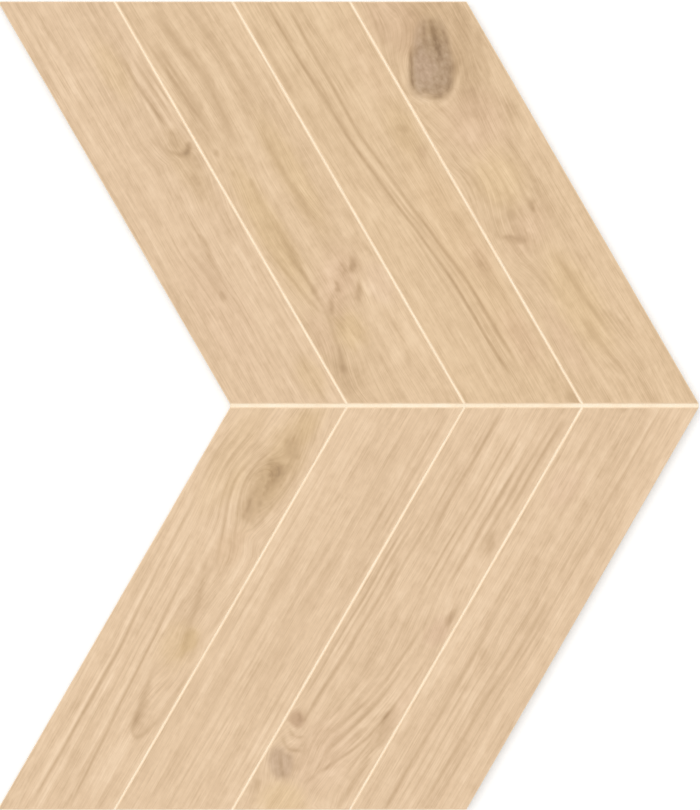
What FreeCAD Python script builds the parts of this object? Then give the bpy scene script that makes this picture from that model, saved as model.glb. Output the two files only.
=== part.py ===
"""Chevron wall tile: two rows of mitred porcelain strips, grouted together on a glass-fibre backing net.

The sheet lies face up. X runs towards the chevron's point, Y across the mitre joint, Z is up.
The origin is at the middle of the sheet's outer box, on the surface that it lies on. Millimetres.
Pieces are made in the upper row, on the +Y side, and the lower row mirrors them across the mitre joint.
"""
import FreeCAD
import Part
import math
import os

# Porcelain strips
STRIPS_PER_ROW = 4
STRIP_WIDTH = 51.0
STRIP_THICKNESS = 9.0
ROW_DEPTH = 205.0
SLANT_DEG = 30.0
FACE_BEVEL = 0.4

# Relief pressed into the back of each strip
GROOVE_WIDTH = 6.0
GROOVE_PITCH = 10.0
GROOVE_DEPTH = 0.6
GROOVE_WALL_SLOPE = 0.5

# Grouted joints
SIDE_JOINT = 1.0
MITRE_JOINT = 2.0
GROUT_BELOW_FACE = 0.45
SIDE_GROUT_DISH = 0.12
MITRE_GROUT_DISH = 0.2

# Backing net
NET_PITCH = 12.5
YARN_WIDTH = 1.2
YARN_THICKNESS = 0.5
NET_INSET = 3.0

# Worked out from the sizes above
TAN_SLANT = math.tan(math.radians(SLANT_DEG))
SIN_SLANT = math.sin(math.radians(SLANT_DEG))
COS_SLANT = math.cos(math.radians(SLANT_DEG))
STRIP_STEP = STRIP_WIDTH + SIDE_JOINT
MITRE_LENGTH = (STRIPS_PER_ROW * STRIP_STEP - SIDE_JOINT) / COS_SLANT
SHEET_LENGTH = MITRE_LENGTH + ROW_DEPTH * TAN_SLANT
POINT_X = SHEET_LENGTH / 2
NOTCH_X = POINT_X - MITRE_LENGTH
ROW_NEAR_Y = MITRE_JOINT / 2
ROW_FAR_Y = ROW_NEAR_Y + ROW_DEPTH
BACK_Z = YARN_THICKNESS
FACE_Z = BACK_Z + STRIP_THICKNESS
GROUT_HEIGHT = STRIP_THICKNESS - GROUT_BELOW_FACE

# Directions in the upper row: along a strip away from the mitre, and across it towards the point
ALONG = FreeCAD.Vector(-SIN_SLANT, COS_SLANT, 0)
ACROSS = FreeCAD.Vector(COS_SLANT, SIN_SLANT, 0)


def mirrored(shape):
    """The lower row's copy of an upper row's shape."""
    return shape.mirror(FreeCAD.Vector(0, 0, 0), FreeCAD.Vector(0, 1, 0))


def profile_face(profile, place):
    """A face bounded by a profile's lines and arcs, given as lists of points that place() puts in the sheet."""
    edges = []
    for points in profile:
        placed = [place(*point) for point in points]
        curve = Part.LineSegment(*placed) if len(placed) == 2 else Part.Arc(*placed)
        edges.append(curve.toShape())
    return Part.Face(Part.Wire(edges))


def run_through_row(profile, index):
    """Runs a profile, drawn across a strip and up from its back, along the strip and mitres both ends."""
    overrun = STRIP_STEP * (1 + TAN_SLANT)
    corner = FreeCAD.Vector(NOTCH_X + index * STRIP_STEP / COS_SLANT, ROW_NEAR_Y, BACK_Z)
    start = corner - ALONG * overrun

    def place(offset, height):
        """A point of the profile, in the sheet's frame."""
        return start + ACROSS * offset + FreeCAD.Vector(0, 0, height)

    length = ROW_DEPTH / COS_SLANT + 2 * overrun
    row_corner = FreeCAD.Vector(-SHEET_LENGTH, ROW_NEAR_Y, -STRIP_THICKNESS)
    row_slab = Part.makeBox(2 * SHEET_LENGTH, ROW_DEPTH, 3 * STRIP_THICKNESS, row_corner)
    return profile_face(profile, place).extrude(ALONG * length).common(row_slab)


def closed_outline(points):
    """Straight edges from each point to the next, and back to the first."""
    return list(zip(points, points[1:] + points[:1]))


def back_grooves(index):
    """The parallel grooves in a strip's back, spaced evenly about its middle."""
    count = int((STRIP_WIDTH - GROOVE_WIDTH) / GROOVE_PITCH)
    first = STRIP_WIDTH / 2 - (count - 1) * GROOVE_PITCH / 2
    foot = GROOVE_WIDTH / 2
    roof = foot - GROOVE_DEPTH * GROOVE_WALL_SLOPE
    below = STRIP_THICKNESS / 2
    grooves = []
    for number in range(count):
        middle = first + number * GROOVE_PITCH
        section = [
            (middle - foot, -below),
            (middle + foot, -below),
            (middle + foot, 0),
            (middle + roof, GROOVE_DEPTH),
            (middle - roof, GROOVE_DEPTH),
            (middle - foot, 0),
        ]
        grooves.append(run_through_row(closed_outline(section), index))
    return grooves


def strip(index):
    """One mitred strip: flat face with bevelled edges, square sides and a grooved back."""
    section = [(0, 0), (STRIP_WIDTH, 0), (STRIP_WIDTH, STRIP_THICKNESS), (0, STRIP_THICKNESS)]
    body = run_through_row(closed_outline(section), index)
    face_edges = [
        edge for edge in body.Edges
        if all(abs(vertex.Z - FACE_Z) < FACE_BEVEL / 2 for vertex in edge.Vertexes)
    ]
    return body.makeChamfer(FACE_BEVEL, face_edges).cut(back_grooves(index))


def grout_outline(low, high, dish):
    """Section of a joint's grout: straight sides and foot, and a top dished by the pointing tool."""
    return [
        [(low, GROUT_HEIGHT), (low, 0)],
        [(low, 0), (high, 0)],
        [(high, 0), (high, GROUT_HEIGHT)],
        [(high, GROUT_HEIGHT), ((low + high) / 2, GROUT_HEIGHT - dish), (low, GROUT_HEIGHT)],
    ]


def side_grout(index):
    """Grout in the joint beside a strip, on the side nearer the notch."""
    return run_through_row(grout_outline(-SIDE_JOINT, 0, SIDE_GROUT_DISH), index)


def mitre_grout():
    """Grout in the joint between the rows, from the notch to the point."""

    def place(offset, height):
        """A point of the joint's section, at the notch."""
        return FreeCAD.Vector(NOTCH_X, offset, BACK_Z + height)

    outline = grout_outline(-MITRE_JOINT / 2, MITRE_JOINT / 2, MITRE_GROUT_DISH)
    return profile_face(outline, place).extrude(FreeCAD.Vector(MITRE_LENGTH, 0, 0))


def joint_grout():
    """All the grout, cast as one piece: the mitre joint with the side joints of both rows."""
    sides = [side_grout(index) for index in range(1, STRIPS_PER_ROW)]
    lower_sides = [mirrored(side) for side in sides]
    return mitre_grout().multiFuse(sides + lower_sides).removeSplitter()


def yarn(x_from, x_to, y_from, y_to):
    """The footprint of a flat resin-coated yarn, on the surface that the sheet lies on."""
    return Part.makePlane(x_to - x_from, y_to - y_from, FreeCAD.Vector(x_from, y_from, 0))


def weft_yarns():
    """Yarns parallel to the mitre joint, cut off inside the row's slanting edges."""
    inset = NET_INSET / COS_SLANT
    half = YARN_WIDTH / 2
    yarns = []
    y = NET_PITCH / 2
    while y < ROW_FAR_Y - NET_INSET - half:
        shift = (y - ROW_NEAR_Y) * TAN_SLANT
        yarns.append(yarn(NOTCH_X - shift + inset, POINT_X - shift - inset, y - half, y + half))
        y += NET_PITCH
    return yarns


def warp_yarns():
    """Yarns square to the mitre joint, from it or the notch's edge to the row's outer edges."""
    inset = NET_INSET / COS_SLANT
    half = YARN_WIDTH / 2
    reach = int(POINT_X / NET_PITCH)
    yarns = []
    for number in range(-reach, reach + 1):
        x = number * NET_PITCH
        near = max(0, ROW_NEAR_Y + (NOTCH_X + inset - x) / TAN_SLANT)
        far = min(ROW_FAR_Y - NET_INSET, ROW_NEAR_Y + (POINT_X - inset - x) / TAN_SLANT)
        if far - near >= NET_PITCH:
            yarns.append(yarn(x - half, x + half, near, far))
    return yarns


def half_net():
    """The upper row's half of the net, with its yarns bonded flat where they cross."""
    yarns = weft_yarns() + warp_yarns()
    footprint = yarns[0].multiFuse(yarns[1:]).removeSplitter().Faces[0]
    return footprint.extrude(FreeCAD.Vector(0, 0, YARN_THICKNESS))


def main():
    """Builds every piece and writes each one to its own file."""
    upper_net = half_net()
    pieces = {
        "joint_grout": joint_grout(),
        "backing_net_upper": upper_net,
        "backing_net_lower": mirrored(upper_net),
    }
    for index in range(STRIPS_PER_ROW):
        upper_strip = strip(index)
        pieces[f"strip_upper_{index + 1}"] = upper_strip
        pieces[f"strip_lower_{index + 1}"] = mirrored(upper_strip)
    os.makedirs("parts", exist_ok=True)
    for name, shape in pieces.items():
        solids = shape.Solids
        print(name, len(solids), "solid", round(shape.Volume), "mm3")
        whole = solids[0] if len(solids) == 1 else Part.makeCompound(solids)
        whole.exportStep(f"parts/{name}.step")


main()
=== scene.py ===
"""Chevron wall tile: eight printed porcelain strips, the grout between them and the net behind them.

Everything is in metres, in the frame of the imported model: the sheet lies face up, X runs towards the
chevron's point, Y across the mitre joint and Z up. A strip's print is laid out in millimetres, on the
strip's own axes: u down the strip as the camera sees it, v across it from its left-hand long side.
"""
import logging
import math
from collections.abc import Callable
from dataclasses import dataclass, field
from enum import Enum
from typing import ClassVar

import bmesh
import bpy
import numpy as np
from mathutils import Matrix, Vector, noise


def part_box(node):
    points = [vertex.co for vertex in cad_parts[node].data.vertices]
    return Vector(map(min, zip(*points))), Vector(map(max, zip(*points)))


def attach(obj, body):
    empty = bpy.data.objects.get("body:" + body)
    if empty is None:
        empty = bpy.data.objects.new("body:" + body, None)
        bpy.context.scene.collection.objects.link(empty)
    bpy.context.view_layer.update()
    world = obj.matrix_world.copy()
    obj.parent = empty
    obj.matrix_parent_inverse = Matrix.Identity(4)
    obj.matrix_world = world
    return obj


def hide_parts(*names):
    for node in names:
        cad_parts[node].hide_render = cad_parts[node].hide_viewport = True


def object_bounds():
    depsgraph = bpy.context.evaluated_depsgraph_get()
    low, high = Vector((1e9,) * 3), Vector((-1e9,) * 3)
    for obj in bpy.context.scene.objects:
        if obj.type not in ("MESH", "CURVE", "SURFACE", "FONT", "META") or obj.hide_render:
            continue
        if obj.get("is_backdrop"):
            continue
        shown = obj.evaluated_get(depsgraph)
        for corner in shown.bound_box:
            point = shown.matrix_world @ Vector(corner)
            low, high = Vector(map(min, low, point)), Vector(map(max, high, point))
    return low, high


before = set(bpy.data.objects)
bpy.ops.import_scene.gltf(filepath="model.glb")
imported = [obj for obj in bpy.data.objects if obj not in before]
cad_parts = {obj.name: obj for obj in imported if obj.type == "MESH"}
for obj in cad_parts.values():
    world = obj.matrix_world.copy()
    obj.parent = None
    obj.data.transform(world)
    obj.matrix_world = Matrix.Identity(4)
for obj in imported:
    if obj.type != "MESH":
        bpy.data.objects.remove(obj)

MM = 0.001
UP = Vector((0.0, 0.0, 1.0))
WHITE = (1.0, 1.0, 1.0, 1.0)

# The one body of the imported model, which every piece belongs to
BODY = "root"

# How near two points are, in metres, to be taken for one, and how near a cut passes to meet a point
WELD_GAP = 1e-6
SAW_GAP = 1e-7

Socket = bpy.types.NodeSocket
Number = float | Socket
Colour = tuple[int, int, int]

log = logging.getLogger("chevron_tile")


class Row(Enum):
    """The two rows of strips, which meet at the mitre joint, with the sign of Y in each."""

    UPPER = 1
    LOWER = -1

    @property
    def label(self) -> str:
        """The row's name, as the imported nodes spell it."""
        return self.name.lower()


class Bench:
    """Workshop routines: picking parts of a mesh by place, and running edit-mode tools on them."""

    @staticmethod
    def take(*pieces: bpy.types.Object) -> None:
        """Selects some pieces and nothing else.

        Args:
            pieces: The pieces, of which the first one becomes active.
        """
        bpy.ops.object.select_all(action="DESELECT")
        for piece in pieces:
            piece.select_set(True)
        bpy.context.view_layer.objects.active = pieces[0]

    @staticmethod
    def join(*pieces: bpy.types.Object) -> bpy.types.Object:
        """Joins pieces into one.

        Args:
            pieces: The pieces.

        Returns:
            The joined piece.
        """
        Bench.take(*pieces)
        bpy.ops.object.join()
        return bpy.context.object

    @staticmethod
    def open(piece: bpy.types.Object, kind: str = "FACE", select: str = "DESELECT") -> None:
        """Opens a piece in edit mode.

        Args:
            piece: The piece.
            kind: What is picked in it: "VERT", "EDGE" or "FACE".
            select: "SELECT" to start with all of it selected.
        """
        Bench.take(piece)
        bpy.ops.object.mode_set(mode="EDIT")
        bpy.ops.mesh.select_mode(type=kind)
        bpy.ops.mesh.select_all(action=select)

    @staticmethod
    def close() -> None:
        """Goes back to object mode."""
        bpy.ops.object.mode_set(mode="OBJECT")

    @staticmethod
    def pick(parts: str, wanted: Callable[..., bool]) -> None:
        """Selects the parts of the open mesh that a test accepts.

        Args:
            parts: "verts", "edges" or "faces".
            wanted: Says whether one such part is to be selected.
        """
        mesh = bmesh.from_edit_mesh(bpy.context.object.data)
        for part in getattr(mesh, parts):
            part.select_set(False)
        for part in getattr(mesh, parts):
            if wanted(part):
                part.select_set(True)
        bmesh.update_edit_mesh(bpy.context.object.data)

    @staticmethod
    def cut(point: Vector, normal: Vector, saw_off: bool = False, close: bool = True) -> None:
        """Cuts the whole open mesh with a plane.

        Args:
            point: A point of the plane.
            normal: The plane's normal.
            saw_off: Whether what lies on the normal's side is removed.
            close: Whether a cut that removes something is closed.
        """
        bpy.ops.mesh.select_all(action="SELECT")
        bpy.ops.mesh.bisect(
            plane_co=point,
            plane_no=normal,
            use_fill=saw_off and close,
            clear_outer=saw_off,
            threshold=SAW_GAP,
        )

    @staticmethod
    def copy(piece: bpy.types.Object, name: str) -> bpy.types.Object:
        """Copies a piece, with a mesh of its own.

        Args:
            piece: The piece to copy.
            name: The copy's name.

        Returns:
            The copy, selected and active.
        """
        Bench.take(piece)
        bpy.ops.object.duplicate()
        twin = bpy.context.object
        twin.name = twin.data.name = name
        return twin

    @staticmethod
    def settle(piece: bpy.types.Object) -> None:
        """Moves a piece's place, turn and scale into its mesh."""
        Bench.take(piece)
        bpy.ops.object.transform_apply(location=True, rotation=True, scale=True)

    @staticmethod
    def modify(piece: bpy.types.Object, kind: str, **settings: object) -> None:
        """Adds a modifier to a piece and applies it.

        Args:
            piece: The piece.
            kind: The modifier's type.
            settings: The modifier's own settings.
        """
        Bench.take(piece)
        modifier = piece.modifiers.new(kind.lower(), kind)
        for key, value in settings.items():
            setattr(modifier, key, value)
        bpy.ops.object.modifier_apply(modifier=modifier.name)

    @staticmethod
    def fasten(piece: bpy.types.Object, slot: str, nodes: list[str], crease: float) -> None:
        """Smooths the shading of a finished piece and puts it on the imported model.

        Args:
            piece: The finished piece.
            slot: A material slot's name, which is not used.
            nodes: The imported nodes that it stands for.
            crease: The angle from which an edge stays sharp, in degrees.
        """
        Bench.take(piece)
        bpy.ops.object.shade_smooth_by_angle(angle=math.radians(crease))
        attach(piece, BODY)
        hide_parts(*nodes)


def rgb(colour: Colour) -> tuple[float, ...]:
    """Turns a colour as a screen shows it into the linear values that a shader takes.

    Args:
        colour: Red, green and blue, each 0 to 255.

    Returns:
        Linear red, green and blue, each 0 to 1, and an alpha of 1.
    """
    toe_end, toe_slope, shift, power = 0.04045, 12.92, 0.055, 2.4
    linear = []
    for part in colour:
        share = part / 255
        linear.append(share / toe_slope if share <= toe_end else ((share + shift) / (1 + shift)) ** power)
    return (*linear, 1.0)


@dataclass(frozen=True)
class Grain:
    """Soft noise in a finish: how often it changes along each axis, and how many finer octaves it has.

    In a bare finish it also says how much the noise moves the tone and the height.
    """

    scale: tuple[float, float, float]
    octaves: float = 2.0
    tone: float = 0.0
    height: float = 0.0


class NodeSheet:
    """Lays out and joins the nodes of one material or world."""

    def __init__(self, owner: bpy.types.Material | bpy.types.World) -> None:
        """Starts with no nodes.

        Args:
            owner: The new material or world that the nodes belong to.
        """
        self.owner = owner
        owner.use_nodes = True
        self.tree = owner.node_tree
        self.tree.nodes.clear()

    @classmethod
    def named(cls, name: str) -> "NodeSheet":
        """The sheet of a new material."""
        return cls(bpy.data.materials.new(name))

    def node(self, kind: str, inputs: dict | None = None, **settings: object) -> bpy.types.Node:
        """Adds a node.

        Args:
            kind: The node's type, without the words ShaderNode.
            inputs: What goes into its sockets: a value, or a socket to join.
            settings: The node's own settings.

        Returns:
            The new node.
        """
        made = self.tree.nodes.new("ShaderNode" + kind)
        for key, value in settings.items():
            setattr(made, key, value)
        for key, value in (inputs or {}).items():
            if isinstance(value, Socket):
                self.tree.links.new(value, made.inputs[key])
            else:
                made.inputs[key].default_value = value
        return made

    def reckon(self, operation: str, first: Number, second: Number) -> Socket:
        """Works out one value from two."""
        return self.node("Math", {0: first, 1: second}, operation=operation).outputs[0]

    def total(self, first: Number, *others: Number) -> Number:
        """Adds up values.

        Args:
            first: The first value.
            others: The other ones.

        Returns:
            Their sum.
        """
        for other in others:
            first = self.reckon("ADD", first, other)
        return first

    def times(self, first: Number, second: Number) -> Socket:
        """Multiplies two values."""
        return self.reckon("MULTIPLY", first, second)

    def weigh(self, values: dict[str, Socket], weights: dict[str, float], base: float = 0.0) -> Number:
        """Adds up named values, each times its weight, on a base."""
        return self.total(base, *(self.times(values[name], weight) for name, weight in weights.items()))

    def step(self, value: Number, limits: tuple[float, float]) -> Socket:
        """Rises smoothly from 0 where a value is at the first limit to 1 where it is at the second."""
        inputs = {0: value, 1: limits[0], 2: limits[1]}
        return self.node("MapRange", inputs, interpolation_type="SMOOTHSTEP").outputs[0]

    def noise(self, place: Socket, grain: Grain) -> Socket:
        """Reads a grain's noise.

        Args:
            place: The place to read it at.
            grain: The grain.

        Returns:
            A value about zero, within a half of it.
        """
        scaled = self.node("VectorMath", {0: place, 1: grain.scale}, operation="MULTIPLY").outputs[0]
        inputs = {"Vector": scaled, "Scale": 1.0, "Detail": grain.octaves}
        return self.reckon("SUBTRACT", self.node("TexNoise", inputs).outputs["Fac"], 0.5)

    def ramp(self, value: Number, stops: dict[float, Colour]) -> Socket:
        """Colours a value.

        Args:
            value: The value, 0 to 1.
            stops: The colour at each of some values.

        Returns:
            The colour.
        """
        made = self.node("ValToRGB", {0: value})
        elements = made.color_ramp.elements
        while len(elements) < len(stops):
            elements.new(0.5)
        for element, (position, colour) in zip(elements, sorted(stops.items())):
            element.position = position
            element.color = rgb(colour)
        return made.outputs["Color"]

    def mix(self, amount: Number, first: Socket, second: Socket | tuple, blend: str = "MIX") -> Socket:
        """Mixes two colours.

        Args:
            amount: How much of the second one there is.
            first: The first colour.
            second: The second colour.
            blend: The way of mixing.

        Returns:
            The mixed colour.
        """
        inputs = {0: amount, 6: first, 7: second}
        made = self.node("Mix", inputs, data_type="RGBA", blend_type=blend, clamp_factor=True)
        return made.outputs[2]

    def bump(self, height: Number, depth: float) -> Socket:
        """Roughens the surface by a height pattern, this deep in metres."""
        return self.node("Bump", {"Height": height, "Distance": depth}).outputs["Normal"]

    def seen_rays(self) -> Socket:
        """Finds the rays that show the background: straight from the camera, off gloss or through glass.

        Returns:
            1 for such a ray, and 0 for any other.
        """
        rays = self.node("LightPath").outputs
        mirrored = self.reckon("MAXIMUM", rays["Is Glossy Ray"], rays["Is Transmission Ray"])
        return self.reckon("MAXIMUM", rays["Is Camera Ray"], mirrored)

    def finish(self, shader: Socket) -> bpy.types.Material:
        """Joins the shader to the output, and returns the material."""
        self.node("OutputMaterial", {"Surface": shader})
        return self.owner

    def coat(self, inputs: dict) -> bpy.types.Material:
        """Ends the material with one principled shader of these inputs, and returns it."""
        return self.finish(self.node("BsdfPrincipled", inputs).outputs[0])


@dataclass(frozen=True)
class WoodPrint:
    """The printed and glazed face: pale oak, in matt glaze over a shallow fibre relief.

    It reads the attributes that PrintLayout gives each strip. A grain's scale is its changes a
    millimetre along the fibres or the strip, the same across, and its step from strip to strip. The
    weights say how much each grain and each part of the figure moves the tone of the face, the tone of a
    knot's heart, the relief and the roughness.
    """

    specular: float = 0.35
    relief: float = 0.06 * MM
    along_fibres: ClassVar[dict[str, Grain]] = {
        "fine": Grain((0.055, 2.1, 1.0), 3.0),
        "middle": Grain((0.02, 0.62, 1.7), 3.0),
        "rings": Grain((0.007, 0.34, 2.3)),
        "broad": Grain((0.008, 0.13, 3.7), 1.0),
        "mottle": Grain((0.07, 0.12, 4.1)),
        "short": Grain((0.16, 0.3, 4.7)),
        "pores": Grain((0.16, 2.9, 5.9)),
        "flecks": Grain((0.3, 1.3, 7.1)),
    }
    over_strip: ClassVar[dict[str, Grain]] = {
        "cloud": Grain((0.025, 0.045, 3.1)),
        "cross": Grain((0.5, 0.1, 4.3)),
        "blots": Grain((0.17, 0.25, 6.3), 1.5),
        "clots": Grain((0.3, 0.42, 8.3), 3.0),
    }
    shells: ClassVar[Grain] = Grain((4.5, 1.0, 1.0))
    pore_limits: ClassVar[tuple[float, float]] = (0.1, 0.24)
    fleck_limits: ClassVar[tuple[float, float]] = (0.1, 0.26)
    spot_limits: ClassVar[tuple[float, float]] = (0.06, 0.46)
    spot_spread: ClassVar[float] = 0.26
    breaks: ClassVar[dict[str, float]] = {"short": 2.0, "middle": 2.2, "fine": 1.6}
    face_base: ClassVar[float] = 0.575
    face_weights: ClassVar[dict[str, float]] = {
        "fine": 0.38, "middle": 0.26, "broad": 0.26, "cloud": 0.11, "mottle": 0.16, "short": 0.25,
        "cross": 0.07, "rings": 0.9, "pores": -0.05, "flecks": 0.035, "light": 0.2, "line": -0.45,
        "spots": -0.3,
    }
    face_colours: ClassVar[dict[float, Colour]] = {
        0.0: (152, 121, 87),
        0.2: (184, 151, 114),
        0.4: (207, 175, 138),
        0.6: (227, 196, 160),
        0.8: (242, 213, 179),
        1.0: (251, 227, 197),
    }
    heart_base: ClassVar[float] = 0.54
    heart_weights: ClassVar[dict[str, float]] = {
        "clots": 0.8, "shells": 0.6, "light": 0.16, "line": -0.6, "spots": -0.4,
    }
    heart_colours: ClassVar[dict[float, Colour]] = {
        0.05: (140, 110, 78),
        0.35: (172, 142, 111),
        0.6: (191, 163, 135),
        0.95: (218, 190, 160),
    }
    pink_glaze: ClassVar[tuple[float, ...]] = (0.96, 0.925, 0.945, 1.0)
    olive_glaze: ClassVar[tuple[float, ...]] = (0.975, 0.965, 0.85, 1.0)
    height_weights: ClassVar[dict[str, float]] = {"fine": 1.0, "pores": -0.5, "line": -0.6}
    roughness_base: ClassVar[float] = 0.5
    roughness_weights: ClassVar[dict[str, float]] = {"middle": 0.12, "pores": 0.08}

    def build(self) -> bpy.types.Material:
        """Makes the material.

        Returns:
            The material.
        """
        sheet = NodeSheet.named("oak_print_glaze")
        line, knot, speckle = self.parts(sheet, "figure")
        light, pink, olive = self.parts(sheet, "tint")
        values = {"light": light}
        for attribute, grains in (("fibre", self.along_fibres), ("place", self.over_strip)):
            place = self.attribute(sheet, attribute).outputs["Vector"]
            for name, grain in grains.items():
                values[name] = sheet.noise(place, grain)
        shell = sheet.node("CombineXYZ", {0: knot, 1: self.parts(sheet, "place")[2]}).outputs[0]
        values["shells"] = sheet.noise(shell, self.shells)
        values["rings"] = sheet.times(values["rings"], self.attribute(sheet, "ring").outputs["Fac"])
        values["pores"] = sheet.step(values["pores"], self.pore_limits)
        values["flecks"] = sheet.step(values["flecks"], self.fleck_limits)
        values["line"] = sheet.times(line, sheet.weigh(values, self.breaks, 1.0))
        blots = sheet.total(values["blots"], sheet.times(speckle, self.spot_spread))
        values["spots"] = sheet.times(speckle, sheet.step(blots, self.spot_limits))

        face = sheet.ramp(sheet.weigh(values, self.face_weights, self.face_base), self.face_colours)
        heart = sheet.ramp(sheet.weigh(values, self.heart_weights, self.heart_base), self.heart_colours)
        colour = sheet.mix(knot, face, heart)
        colour = sheet.mix(pink, colour, self.pink_glaze, "MULTIPLY")
        colour = sheet.mix(olive, colour, self.olive_glaze, "MULTIPLY")
        return sheet.coat({
            "Base Color": colour,
            "Roughness": sheet.weigh(values, self.roughness_weights, self.roughness_base),
            "Specular IOR Level": self.specular,
            "Normal": sheet.bump(sheet.weigh(values, self.height_weights), self.relief),
        })

    @staticmethod
    def attribute(sheet: NodeSheet, name: str) -> bpy.types.Node:
        """Reads one of the strip's attributes."""
        return sheet.node("Attribute", attribute_name=name)

    @staticmethod
    def parts(sheet: NodeSheet, name: str) -> list[Socket]:
        """Reads the three values of one of the strip's vector attributes."""
        vector = WoodPrint.attribute(sheet, name).outputs["Vector"]
        return list(sheet.node("SeparateXYZ", {0: vector}).outputs)


@dataclass(frozen=True)
class Specks:
    """Sparse specks of another colour, where a grain's noise passes its limits."""

    grain: Grain
    limits: tuple[float, float]
    amount: float
    colour: Colour


@dataclass(frozen=True)
class BareFinish:
    """A finish with no print, on object coordinates, whose grains tone it and make its bump.

    The tone is its place on the scale of colours, before the grains move it.
    """

    name: str
    colours: dict[float, Colour]
    roughness: float
    depth: float
    grains: tuple[Grain, ...]
    specks: Specks | None = None
    gloss: dict[str, float] = field(default_factory=dict)
    tone: float = 0.5

    def build(self) -> bpy.types.Material:
        """Makes the material.

        Returns:
            The material.
        """
        sheet = NodeSheet.named(self.name)
        place = sheet.node("TexCoord").outputs["Object"]
        tone, height = self.tone, 0.0
        for grain in self.grains:
            pattern = sheet.noise(place, grain)
            tone = sheet.total(tone, sheet.times(pattern, grain.tone))
            height = sheet.total(height, sheet.times(pattern, grain.height))
        colour = sheet.ramp(tone, self.colours)
        if self.specks:
            pattern = sheet.noise(place, self.specks.grain)
            amount = sheet.times(sheet.step(pattern, self.specks.limits), self.specks.amount)
            colour = sheet.mix(amount, colour, rgb(self.specks.colour))
        return sheet.coat({
            "Base Color": colour,
            "Roughness": self.roughness,
            "Normal": sheet.bump(height, self.depth),
            **self.gloss,
        })


# Bare beige porcelain, on the sawn sides and the pressed back, with the saw's marks
PORCELAIN_BODY = BareFinish(
    name="porcelain_body",
    colours={0.2: (203, 178, 147), 0.5: (219, 197, 167), 0.8: (229, 210, 183)},
    roughness=0.72,
    depth=0.04 * MM,
    grains=(
        Grain((2600.0, 2600.0, 2600.0), 3.0, tone=0.5, height=1.0),
        Grain((60.0, 60.0, 60.0), tone=0.5),
        Grain((30.0, 30.0, 3200.0), tone=0.25, height=0.6),
    ),
    specks=Specks(Grain((1500.0, 1500.0, 1500.0), 1.0), (0.2, 0.28), 0.6, (168, 141, 112)),
)

# The pale engobe between glaze and body, which shows where the wheel eased the face's edges. Its pale
# colour is also painted light, which offsets the shade that the arrises get on their slope
ENGOBE_AND_PAINTED_LIGHT = BareFinish(
    name="engobe_and_painted_light",
    colours={0.2: (236, 206, 170), 0.5: (247, 219, 184), 0.8: (252, 229, 198)},
    roughness=0.6,
    depth=0.02 * MM,
    grains=(
        Grain((2400.0, 2400.0, 2400.0), 3.0, tone=0.4, height=1.0),
        Grain((90.0, 90.0, 90.0), tone=0.8),
    ),
)

# Cream cement grout, matt and sandy
CEMENT_GROUT = BareFinish(
    name="cream_cement_grout",
    colours={0.2: (247, 224, 194), 0.5: (255, 238, 211), 0.8: (255, 246, 226)},
    roughness=0.9,
    depth=0.12 * MM,
    grains=(
        Grain((2100.0, 2100.0, 2100.0), 4.0, tone=0.7, height=1.0),
        Grain((70.0, 70.0, 70.0), tone=0.6),
    ),
    specks=Specks(Grain((1700.0, 1700.0, 1700.0), 1.0), (0.16, 0.25), 0.35, (214, 186, 150)),
    gloss={"Specular IOR Level": 0.25},
)

# White glass-fibre yarn, set in clear resin
GLASS_YARN = BareFinish(
    name="glass_fibre_yarn",
    colours={0.25: (214, 214, 203), 0.5: (233, 233, 226), 0.8: (246, 246, 242)},
    roughness=0.34,
    depth=0.05 * MM,
    grains=(
        Grain((5200.0, 5200.0, 400.0), tone=0.8, height=1.0),
        Grain((180.0, 180.0, 180.0), tone=0.7),
    ),
    gloss={"Coat Weight": 0.4, "Coat Roughness": 0.2},
)


@dataclass(frozen=True)
class WhiteFloor:
    """White studio floor, which keeps the sheet's shadow and looks pure white to the camera."""

    albedo: float = 0.86
    lift: float = 0.22

    def build(self) -> bpy.types.Material:
        """Makes the material.

        Returns:
            The material.
        """
        sheet = NodeSheet.named("white_floor")
        surface = sheet.node("BsdfDiffuse", {"Color": (self.albedo, self.albedo, self.albedo, 1.0)})
        glow = sheet.node("Emission", {"Strength": sheet.times(sheet.seen_rays(), self.lift)})
        both = sheet.node("AddShader", {0: surface.outputs[0], 1: glow.outputs[0]})
        return sheet.finish(both.outputs[0])


@dataclass(frozen=True)
class Streak:
    """A line of the print that follows the grain.

    Points are (u, v) or (u, v, strength), in millimetres. The depth is above 0 for a dark line and
    below 0 for a light one, the width is from its middle to where it has mostly faded, and the fade is
    how far it takes to fade in or out at its ends.
    """

    points: tuple[tuple[float, ...], ...]
    depth: float
    width: float
    fade: float


@dataclass(frozen=True)
class Patch:
    """A soft oval of the print, which shades, tints or speckles what it covers.

    The centre and the half-sizes are in millimetres, along u and across, and the turn is in degrees
    from u towards v. A larger edge fades it over more of its radius, and a larger tear frays its outline
    more. A taper above 0 narrows the oval towards its start, and a power above 2 squares its corners.
    """

    centre: tuple[float, float]
    half: tuple[float, float]
    turn: float = 0.0
    light: float = 0.0
    pink: float = 0.0
    olive: float = 0.0
    speckle: float = 0.0
    knot: float = 0.0
    line: float = 0.0
    ring: float = 0.0
    edge: float = 0.8
    taper: float = 0.0
    tear: float = 0.6
    power: float = 2.0


@dataclass(frozen=True)
class Knot:
    """A knot that the fibres flow round, with the half-sizes of the place that it disturbs."""

    centre: tuple[float, float]
    half: tuple[float, float]
    push: float


@dataclass(frozen=True)
class StripFigure:
    """All that is printed on one strip, with the levels that its patches add to."""

    seed: float
    light: float = 0.0
    olive: float = 0.0
    ring: float = 0.16
    streaks: tuple[Streak, ...] = ()
    patches: tuple[Patch, ...] = ()
    knots: tuple[Knot, ...] = ()


def streak(depth: float, width: float, *points: tuple[float, ...], fade: float = 12.0) -> Streak:
    """A streak, written with its points last."""
    return Streak(points, depth, width, fade)


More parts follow.
